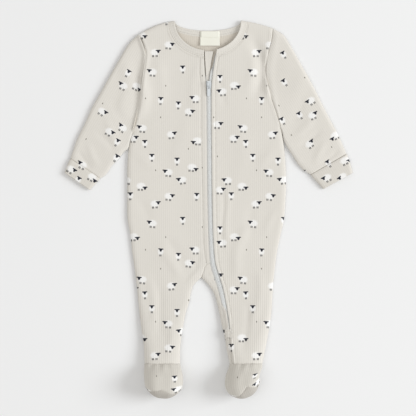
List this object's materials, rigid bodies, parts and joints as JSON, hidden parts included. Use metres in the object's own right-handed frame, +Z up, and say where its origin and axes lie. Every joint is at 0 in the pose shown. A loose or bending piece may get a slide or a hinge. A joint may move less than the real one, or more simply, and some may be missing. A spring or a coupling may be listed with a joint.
{
  "type": "footed baby sleepsuit",
  "caption": "Footed baby sleepsuit laid flat on its back: long sleeves with band cuffs, bound round neck, rounded feet, and a zip open at the top that runs down the front into one leg.",
  "frame": {"origin": "middle of the bounding box, on the surface the sleepsuit lies on", "axes": "+X to the wearer's left, +Y from the feet to the neck, +Z up out of the front"},
  "size_m": [0.4572, 0.5992, 0.0447],
  "materials": {
    "jersey": "fine rib jersey",
    "zip_tape": "woven tape",
    "zip_teeth": "satin nylon",
    "enamel": "satin enamel",
    "label": "satin ribbon"
  },
  "bodies": {
    "garment": {"back_panel": "jersey", "front_right_panel": "jersey", "front_left_panel": "jersey", "inner_leg_strip": "jersey", "sleeve_right": "jersey", "sleeve_left": "jersey", "cuff_right": "jersey", "cuff_left": "jersey", "neck_binding": "jersey", "foot_upper_right": "jersey", "foot_upper_left": "jersey", "foot_sole_right": "jersey", "foot_sole_left": "jersey", "zip_guard": "jersey", "zip_end_tab": "jersey", "zip_tape_right": "zip_tape", "zip_tape_left": "zip_tape", "zip_coil_right": "zip_teeth", "zip_coil_left": "zip_teeth", "zip_slider": "enamel", "label_long": "label", "label_short": "label"},
    "pull": {"zip_pull": "enamel"}
  },
  "joints": [
    {"name": "pull_swing", "type": "hinge", "parent": "garment", "child": "pull", "pos_m": [0.00045, 0.1955, 0.0095], "axis": [-1, 0, 0], "range_deg": [0, 125]}
  ]
}
